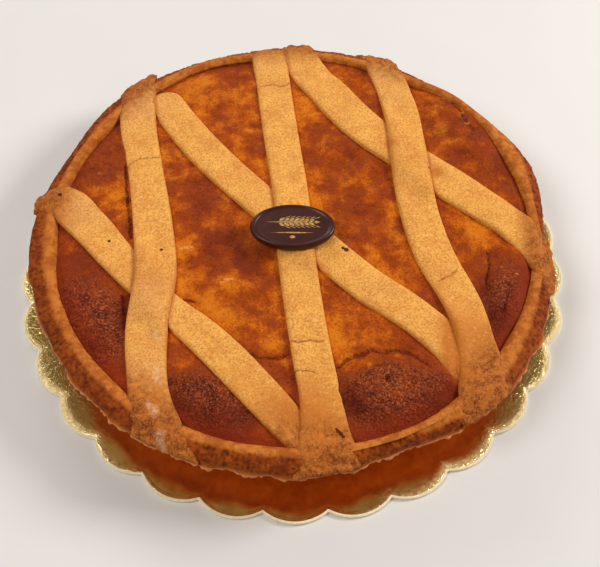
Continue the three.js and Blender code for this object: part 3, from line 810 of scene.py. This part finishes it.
def fold_over(end):
    """Rows that carry the end of a strip down over the rim's edge and back in under it."""
    radial = end[:, :2] / np.linalg.norm(end[:, :2], axis=1, keepdims=True)
    bulge = 0.7 * np.sin(FOLD_STEPS * math.pi) - 3.6 * FOLD_STEPS**3
    rag = 1 + 0.5 * grain(end * [1, 1, 0], 2.2, 34)
    rows_x = end[:, 0] + bulge * rag * radial[:, 0]
    rows_y = end[:, 1] + bulge * rag * radial[:, 1]
    rows_z = end[:, 2] * (1 - FOLD_STEPS) + FOLD_LOW * FOLD_STEPS
    return np.stack([rows_x, rows_y, rows_z], -1)


pastry = Finish("golden_dough", {"Specular IOR Level": 0.15})
dough_fine = pastry.noise(0.9, 3)
dough_mottle = pastry.noise(2.4, 3)
dough_patch = pastry.noise(11, 2)
at_rim = pastry.mark("at_rim")
uneven = 0.3 * (dough_patch - 0.5)
dough_tint = pastry.step(0.6 * dough_mottle + 0.9 * (dough_patch - 0.5), 0.12, 0.48)
browner_and_shaded = pastry.step(pastry.mark("browner_and_shaded") + 0.7 * (dough_mottle - 0.5) + uneven, 0.0, 1.0)
# The strips' sides are darker: partly baked browner, partly painted shade.
sides_baked_and_shaded = pastry.step(pastry.mark("low_side") + 0.8 * (dough_mottle - 0.5) + uneven, 0.2, 0.95)
dough_colour = pastry.coat(
    pastry.between(dough_tint, (222, 152, 70), (240, 176, 84)),
    (pastry.step(pastry.noise(1.4, 3), 0.5, 0.68) * 0.5, (254, 206, 122)),
    (pastry.mark("paler_and_lit") * 0.6, (218, 160, 104)),
    (browner_and_shaded * 0.85, (188, 102, 26)),
    (sides_baked_and_shaded * 0.3, (190, 106, 36)),
    # Painted shade on the diagonal strips right beside the long strips that cross over them.
    (pastry.mark("painted_contact_shade") * 0.6, (160, 76, 22)),
)
rim_mottle = pastry.step(pastry.noise(4, 4), 0.4, 0.62)
rim_tint = pastry.between(rim_mottle, (130, 58, 10), (184, 100, 30))
rim_share = pastry.step(at_rim + 0.7 * (dough_mottle - 0.5), 0.2, 0.95)
rim_grain = pastry.step(pastry.noise(1.3, 3) + 0.5 * (pastry.noise(3.5) - 0.5), 0.5, 0.66)
floured = pastry.step(0.9 - 0.22 * pastry.mark("flour") + 1.8 * (pastry.noise(2.2, 4) - 0.5), 0.3, 1.3)
split_open = 1 - pastry.step(pastry.mark("split") + 1.4 * (pastry.noise(1.3) - 0.5), 0.05, 0.5)
speck = 1 - pastry.step(pastry.mark("speck") + 0.7 * (dough_fine - 0.5), 0.85, 1.15)
pastry.lay(
    colour=pastry.coat(
        pastry.mix(rim_share, dough_colour, rim_tint),
        (pastry.step(pastry.noise(1.4, 3), 0.5, 0.66) * 0.25, (232, 160, 80)),
        (rim_grain * pastry.mark("rough_end") * 0.5, (112, 46, 12)),
        (pastry.step(dough_fine, 0.44, 0.64) * 0.7, (190, 114, 46)),
        (floured * 0.5, (238, 206, 172)),
        # Painted shade in the splits.
        (split_open * 0.42, (140, 74, 26)),
        (speck * 0.95, (66, 20, 8)),
    ),
    roughness=0.58 + 0.2 * dough_mottle,
    relief=0.3 * dough_fine + 0.35 * dough_mottle + 0.5 * at_rim * pastry.noise(1.6, 3) - 0.4 * split_open,
)

for name, stations in {**DIAGONALS, **LONG_STRIPS}.items():
    is_long = name in LONG_STRIPS
    top = lanes_of(stations, ACROSS, 0.0)
    under = lanes_of(stations, ACROSS_UNDER, UNDER_INSET)
    x, y = top[..., 0], top[..., 1]
    out = np.hypot(x, y)
    angle = np.arctan2(y, x)
    pressed = smooth(out, inner_radius(angle) - 8, inner_radius(angle) + 5)
    lifted = rise_at(x, y) / DOUGH_RISE if is_long else 0 * x
    # The higher the power, the squarer the section: square on the filling and round on the rim.
    power = (6 - 2.6 * lifted) * (1 - pressed) + 2 * pressed
    share = (1 - np.minimum(np.abs(ACROSS), 0.9999) ** power) ** (1 / power)
    thick = DOUGH_THICK * (1 - pressed) + DOUGH_PRESSED * pressed
    plan = np.stack([x, y, 0 * x], -1)
    bottom = bed_level(x, y) - DOUGH_SUNK + DOUGH_RISE * lifted
    z = bottom + share * thick + share * (0.3 * grain(plan, 10, 31) + 0.12 * grain(plan, 3.5, 32))
    z = z + pressed * 0.3 * grain(plan, 3, 33)

    # A far end that stops short of the rim has a rounded tip, and such a near end sinks in.
    starts_at_rim, ends_at_rim = (np.hypot(*stations[k][:2]) > RIM_REACHED for k in (0, -1))
    from_tip = np.arange(len(top))[:, None] * STRIP_STEP
    if not starts_at_rim:
        round_off = (1 - np.clip(1 - from_tip / 4, 0, 1) ** 2.6) ** (1 / 2.6)
        z = bottom + (z - bottom) * round_off
        half_round = 8.5 * (1 - np.sqrt(1 - np.minimum(np.abs(ACROSS), 0.98) ** 2))
        run = np.subtract(stations[1][:2], stations[0][:2])
        run = run / np.hypot(*run)
        back = half_round * np.clip(1 - from_tip / 12, 0, 1)
        x, y = x + run[0] * back, y + run[1] * back
    if not ends_at_rim:
        z = z - 1.9 * (1 - smooth(from_tip[::-1], 0, 16))
    loops = np.stack([x, y, z], -1)
    under_bottom = bed_level(under[..., 0], under[..., 1]) - DOUGH_SUNK
    if is_long:
        under_bottom = under_bottom + rise_at(under[..., 0], under[..., 1])
    under_loops = np.concatenate([under, under_bottom[..., None]], -1)

    # The ends that reach the rim fold down over its edge.
    if starts_at_rim:
        loops = np.concatenate([fold_over(loops[0])[::-1], loops])
        under_loops = np.concatenate([np.repeat(under_loops[:1], len(FOLD_STEPS), 0), under_loops])
    if ends_at_rim:
        loops = np.concatenate([loops, fold_over(loops[-1])])
        under_loops = np.concatenate([under_loops, np.repeat(under_loops[-1:], len(FOLD_STEPS), 0)])
    strip_loops = np.concatenate([loops, under_loops], 1)

    plan = strip_loops * [1, 1, 0]
    out = np.hypot(strip_loops[..., 0], strip_loops[..., 1])
    angle = np.arctan2(strip_loops[..., 1], strip_loops[..., 0])
    edge = smooth(out, outer_radius(angle) - 8, outer_radius(angle) - 1)
    roughen = edge * (0.5 * grain(strip_loops, 2.6, 35) + 0.45 * grain(strip_loops, 1.3, 36))
    wander = np.stack([grain(plan, 3, 37), grain(plan, 3, 38)], -1)
    split = away_from(DOUGH_SPLITS.get(name, []), plan[..., :2] + 0.7 * wander)
    speck_away = spots_away(DOUGH_SPECKS.get(name, []), plan[..., 0], plan[..., 1])
    roughen = roughen - 0.5 * np.exp(-((split / 0.5) ** 2)) - 0.5 * np.exp(-(speck_away**2))
    strip_loops = strip_loops + outward(strip_loops) * roughen[..., None]
    strip_x, strip_y = strip_loops[..., 0], strip_loops[..., 1]
    raised = rise_at(strip_x, strip_y) / DOUGH_RISE if is_long else 0 * out
    near_side = 0.5 - 0.5 * np.sin(angle)
    all_across = np.abs(np.concatenate([ACROSS, ACROSS_UNDER]))
    strip_marks = {
        "low_side": smooth(all_across + 0.1 * raised, 0.88, 1.02),
        # Painted shade on the diagonals beside the long strips.
        "painted_contact_shade": 0 * out if is_long else 1 - smooth(gap_to(over_lines, strip_x, strip_y), 0, 2.2),
        "browner_and_shaded": patches_at(BROWNER_AND_SHADED_PATCHES, strip_x, strip_y),
        "paler_and_lit": patches_at(PALER_AND_LIT_PATCHES, strip_x, strip_y),
        "at_rim": smooth(out, inner_radius(angle) - 12 - 18 * near_side, inner_radius(angle) + 10),
        "rough_end": smooth(out, outer_radius(angle) - 12, outer_radius(angle) - 3),
        "split": split,
        "speck": speck_away,
        "flour": away_from(FLOUR.get(name, []), plan[..., :2]),
    }
    strip = make_piece("dough_" + name, strip_loops, pastry, strip_marks)
    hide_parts(name)


# The plaque: a thin oval of dark chocolate cast in a mould, with a raised border round a flat field. It
# lies on the crossing in the middle. Its face carries a printed ear of wheat in gold.

PLAQUE_AT = (0.1, -8.2)
PLAQUE_SIZE = (41.0, 25.8)
PLAQUE_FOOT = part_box("plaque")[0].z * 1000
PLAQUE_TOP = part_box("plaque")[1].z * 1000
PLAQUE_HIGH = PLAQUE_TOP - PLAQUE_FOOT
PRINT_THICK = 0.12
# Its section, from the middle of the underside over the border to the field: shares of its half size
# and of its height.
plaque_section = [
    (0.4, 0.0), (0.93, 0.0), (0.985, 0.08), (1, 0.3), (1, 0.68), (0.985, 0.86), (0.965, 0.95),
    (0.945, 0.99), (0.93, 1.0), (0.912, 0.99), (0.89, 0.95), (0.872, 0.89), (0.858, 0.85),
    (0.84, 0.84), (0.5, 0.84), (0.1, 0.84),
]  # fmt: skip
plaque_angle = np.linspace(0, 2 * math.pi, 320, endpoint=False)
plaque_spots = np.linspace(0, len(plaque_section) - 1, 61)
corners = np.arange(len(plaque_section))
size, up = (np.interp(plaque_spots, corners, shares)[:, None] for shares in zip(*plaque_section))
plaque_x = PLAQUE_AT[0] + size * PLAQUE_SIZE[0] / 2 * np.cos(plaque_angle)
plaque_y = PLAQUE_AT[1] + size * PLAQUE_SIZE[1] / 2 * np.sin(plaque_angle)
plaque_loops = np.stack(np.broadcast_arrays(plaque_x, plaque_y, PLAQUE_FOOT + up * PLAQUE_HIGH), -1)
chocolate = Finish("dark_chocolate", {"Specular IOR Level": 0.32})
bloom = chocolate.step(chocolate.noise(7, 3), 0.3, 0.7)
chocolate.lay(
    colour=chocolate.between(bloom, (54, 22, 16), (66, 29, 21)),
    roughness=0.3 + 0.12 * chocolate.noise(2.5, 3),
    relief=0.06 * chocolate.noise(1.2, 2) + 0.12 * chocolate.noise(6),
)
plaque = make_piece("chocolate_plaque", plaque_loops, chocolate)
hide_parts("plaque")

# The print is a thin layer: grains in pairs along a stem, their awns, and a short rule under them.
gold_ink = Finish("gold_ink", {"Metallic": 0.25})
worn = gold_ink.step(gold_ink.noise(1.0, 3), 0.35, 0.65)
gold_ink.lay(
    colour=gold_ink.between(worn, (156, 112, 58), (208, 164, 94)),
    roughness=0.45 + 0.1 * gold_ink.noise(0.8),
)


def leaf(at_x, at_y, long, wide, turn):
    """The outline of one printed grain or stroke, pointed at both ends."""
    share = np.linspace(0, 2 * math.pi, 24, endpoint=False)
    along, over = np.cos(share) * long / 2, np.sin(share) ** 3 * wide / 2
    cosine, sine = math.cos(turn), math.sin(turn)
    return np.stack([at_x + along * cosine - over * sine, at_y + along * sine + over * cosine], -1)


strokes = [leaf(-1.0, 2.0, 25, 0.8, 0.0), leaf(0, -4.4, 21, 0.8, 0.0), leaf(0, -6.9, 3.2, 1.9, 0.0)]
for step_along in range(7):
    along = -6.4 + 2.4 * step_along
    reach = 1.55 - 0.08 * step_along
    for side in (-1, 1):
        strokes.append(leaf(along + 1.3, 2.0 + side * reach, 3.5, 1.6, side * 0.55))
        strokes.append(leaf(along + 4.0, 2.0 + side * (reach + 1.5), 3.8, 0.4, side * 0.42))
strokes.append(leaf(11.6, 2.0, 3.4, 1.5, 0.0))
# The print starts just under the field, so that no gap shows between them.
print_low = PLAQUE_FOOT + 0.838 * PLAQUE_HIGH
print_points, print_faces = [], []
for outline in strokes:
    start = len(print_points)
    count = len(outline)
    for z in (print_low, print_low + PRINT_THICK):
        print_points += [(x + PLAQUE_AT[0], y + PLAQUE_AT[1], z) for x, y in outline]
    print_faces.append([start + i for i in reversed(range(count))])
    print_faces.append([start + count + i for i in range(count)])
    for i in range(count):
        j = (i + 1) % count
        print_faces.append([start + i, start + j, start + count + j, start + count + i])
plaque_print = add_mesh("plaque_print", print_points, print_faces, gold_ink)
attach(plaque_print, "root")


# The table, the light and the camera. The tart stands on a plain pale table under soft studio light
# from above and behind, and the camera looks down on it from the front.

TABLE_HALF = 4000
pale = Finish("pale_table", {"Roughness": 0.7})
pale.lay(colour=pale.mix(pale.noise(60), (0.72, 0.71, 0.69, 1), (0.76, 0.75, 0.73, 1)))
table_corners = [(x * TABLE_HALF, y * TABLE_HALF, 0) for x, y in ((-1, -1), (1, -1), (1, 1), (-1, 1))]
table_top = add_mesh("table_top", table_corners, [(0, 1, 2, 3)], pale)


def soft_light(name, place, size, watts, colour):
    """A round lamp, in metres, that faces the middle of the table."""
    lamp = bpy.data.lights.new(name, "AREA")
    lamp.shape = "DISK"
    lamp.size = size
    lamp.energy = watts
    lamp.color = colour
    light = bpy.data.objects.new(name, lamp)
    light.location = place
    light.rotation_euler = (-Vector(place)).to_track_quat("-Z", "Y").to_euler()
    bpy.context.scene.collection.objects.link(light)


soft_light("side_light", (0.95, 0.2, 0.65), 0.4, 10.6, (1.0, 0.98, 0.95))
soft_light("top_light", (-0.6, -0.25, 0.85), 0.5, 5.3, (1.0, 0.98, 0.96))
soft_light("back_light", (-0.35, 0.95, 0.6), 0.5, 3.6, (1.0, 0.98, 0.96))

world = bpy.data.worlds.new("studio")
world.use_nodes = True
world.node_tree.nodes["Background"].inputs["Color"].default_value = (1.0, 0.87, 0.74, 1)
world.node_tree.nodes["Background"].inputs["Strength"].default_value = 0.22
bpy.context.scene.world = world
bpy.context.scene.view_settings.view_transform = "Standard"

CAMERA_AT = Vector((0.00385, -0.23039, 0.32770))
CAMERA_AIM = Vector((0.00385, -0.01659, 0.0))
camera_data = bpy.data.cameras.new("camera")
camera_data.sensor_width = 36
camera_data.lens = 45.54
camera = bpy.data.objects.new("camera", camera_data)
camera.location = CAMERA_AT
camera.rotation_mode = "QUATERNION"
turned = (CAMERA_AIM - CAMERA_AT).to_track_quat("-Z", "Y")
camera.rotation_quaternion = turned @ Quaternion((0, 0, 1), math.radians(0.35))
bpy.context.scene.collection.objects.link(camera)
bpy.context.scene.camera = camera
